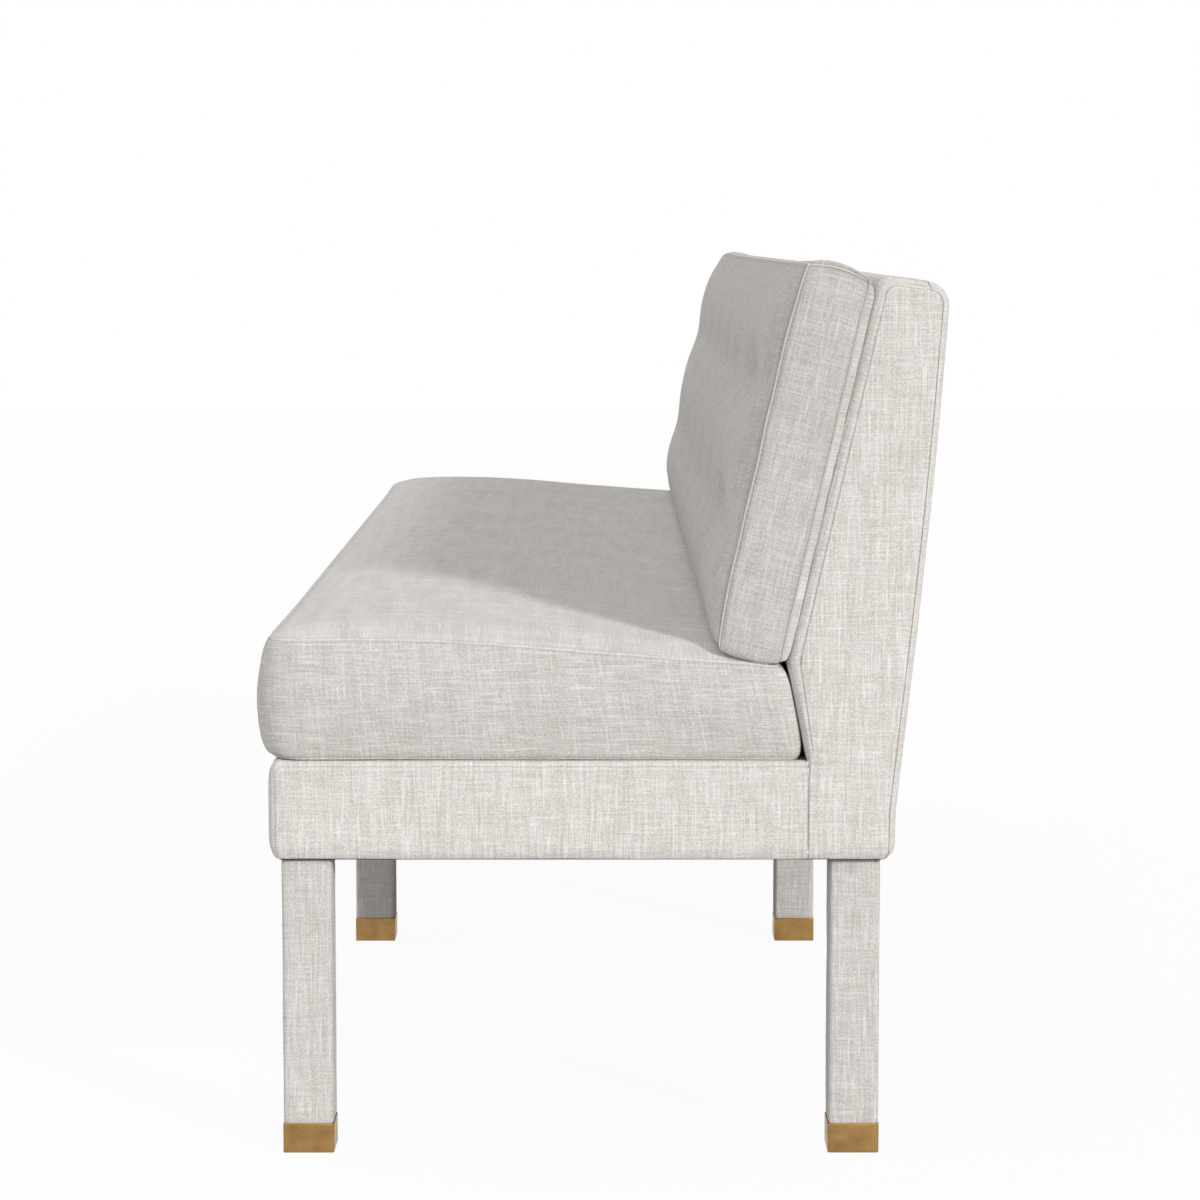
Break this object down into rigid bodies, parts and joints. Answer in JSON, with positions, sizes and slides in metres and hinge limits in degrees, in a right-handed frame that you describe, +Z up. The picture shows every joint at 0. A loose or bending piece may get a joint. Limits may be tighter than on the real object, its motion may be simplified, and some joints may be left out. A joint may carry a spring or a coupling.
{
  "type": "banquette",
  "caption": "Long armless upholstered bench with a raked back, a loose box seat cushion, a loose tufted back cushion and cloth-covered legs in square brass ferrules.",
  "frame": {"origin": "on the floor, under the middle of the object's box in length and in depth", "axes": "+X along the bench's length, +Y towards the back, -Y the side that a sitter faces, +Z up"},
  "size_m": [2.264, 0.6882, 0.8973],
  "materials": {
    "linen_cloth": "matte",
    "wadding": "matte",
    "foam": "matte",
    "dust_cloth": "matte",
    "tuft_thread": "matte",
    "zip_tape": "matte",
    "zip_metal": "satin",
    "hardwood": "matte",
    "plywood": "matte",
    "aged_brass": "satin",
    "zinc_steel": "satin",
    "nylon": "matte"
  },
  "bodies": {
    "frame": {"front_rail": "hardwood", "rear_rail": "hardwood", "end_rail_right": "hardwood", "end_rail_left": "hardwood", "cross_rail_right": "hardwood", "cross_rail_middle": "hardwood", "cross_rail_left": "hardwood", "deck_board": "plywood", "leg_blocks": "plywood", "block_screws": "zinc_steel", "hanger_bolts": "zinc_steel", "t_nuts": "zinc_steel", "glides": "nylon", "back_post_right_end": "hardwood", "back_post_right_inner": "hardwood", "back_post_left_inner": "hardwood", "back_post_left_end": "hardwood", "back_top_rail": "hardwood", "back_low_rail": "hardwood", "back_board": "plywood", "base_wadding": "wadding", "base_cover": "linen_cloth", "deck_cover": "linen_cloth", "dust_cover": "dust_cloth", "dust_cover_staples": "zinc_steel", "inside_back_wadding": "wadding", "inside_back_cover": "linen_cloth", "outside_back_wadding": "wadding", "outside_back_cover": "linen_cloth", "end_wadding_right": "wadding", "end_wadding_left": "wadding", "end_panel_right": "linen_cloth", "end_panel_left": "linen_cloth", "leg_post_front_right": "hardwood", "leg_post_front_middle": "hardwood", "leg_post_front_left": "hardwood", "leg_post_rear_right": "hardwood", "leg_post_rear_middle": "hardwood", "leg_post_rear_left": "hardwood", "leg_sleeve_front_right": "linen_cloth", "leg_sleeve_front_middle": "linen_cloth", "leg_sleeve_front_left": "linen_cloth", "leg_sleeve_rear_right": "linen_cloth", "leg_sleeve_rear_middle": "linen_cloth", "leg_sleeve_rear_left": "linen_cloth", "ferrule_front_right": "aged_brass", "ferrule_front_middle": "aged_brass", "ferrule_front_left": "aged_brass", "ferrule_rear_right": "aged_brass", "ferrule_rear_middle": "aged_brass", "ferrule_rear_left": "aged_brass"},
    "seat_cushion": {"seat_cushion_cover": "linen_cloth", "seat_cushion_foam": "foam", "seat_zip": "zip_tape"},
    "seat_zip_slider": {"seat_zip_slider": "zip_metal"},
    "back_cushion": {"back_cushion_cover": "linen_cloth", "back_cushion_foam": "foam", "back_cushion_stitches": "tuft_thread", "back_zip": "zip_tape"},
    "back_zip_slider": {"back_zip_slider": "zip_metal"}
  },
  "joints": [
    {"name": "seat_cushion_pull", "type": "slide", "parent": "frame", "child": "seat_cushion", "axis": [0, -1, 0], "range_m": [0, 0.56]},
    {"name": "back_cushion_lift", "type": "slide", "parent": "frame", "child": "back_cushion", "axis": [0, 0.2224, 0.975], "range_m": [0, 0.42]},
    {"name": "seat_zip_slide", "type": "slide", "parent": "seat_cushion", "child": "seat_zip_slider", "axis": [-1, 0, 0], "range_m": [0, 2.09]},
    {"name": "back_zip_slide", "type": "slide", "parent": "back_cushion", "child": "back_zip_slider", "axis": [-1, 0, 0], "range_m": [0, 2.09]}
  ]
}
